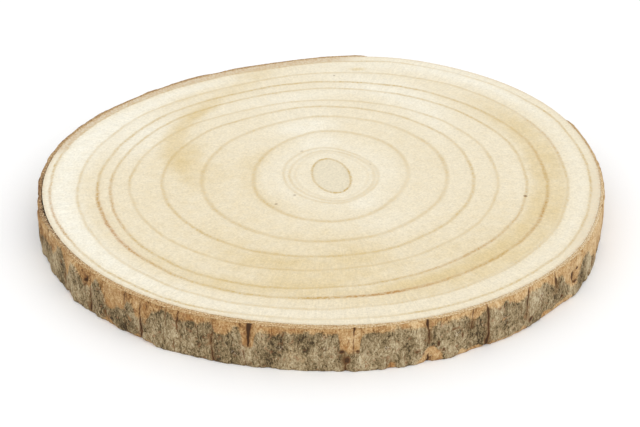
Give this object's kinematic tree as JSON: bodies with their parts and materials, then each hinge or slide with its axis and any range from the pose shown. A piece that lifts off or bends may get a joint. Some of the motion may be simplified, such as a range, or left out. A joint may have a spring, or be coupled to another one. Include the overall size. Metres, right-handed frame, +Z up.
{
  "type": "wood slice",
  "caption": "Round slice sawn across a pale, wide-ringed trunk, sanded flat on both faces, with the rough grey-brown bark left on round its edge.",
  "frame": {"origin": "under the middle of the slice's box, on the underside that it lies on", "axes": "+Z up out of the upper sanded face, +X along the slice's longest width, to the right as the picture shows it"},
  "size_m": [0.2984, 0.2898, 0.0235],
  "materials": {
    "wood": "sanded and dry, matt",
    "bark": "rough, cracked and dry"
  },
  "bodies": {
    "root": {"wood": "wood", "bark": "bark"}
  },
  "joints": []
}
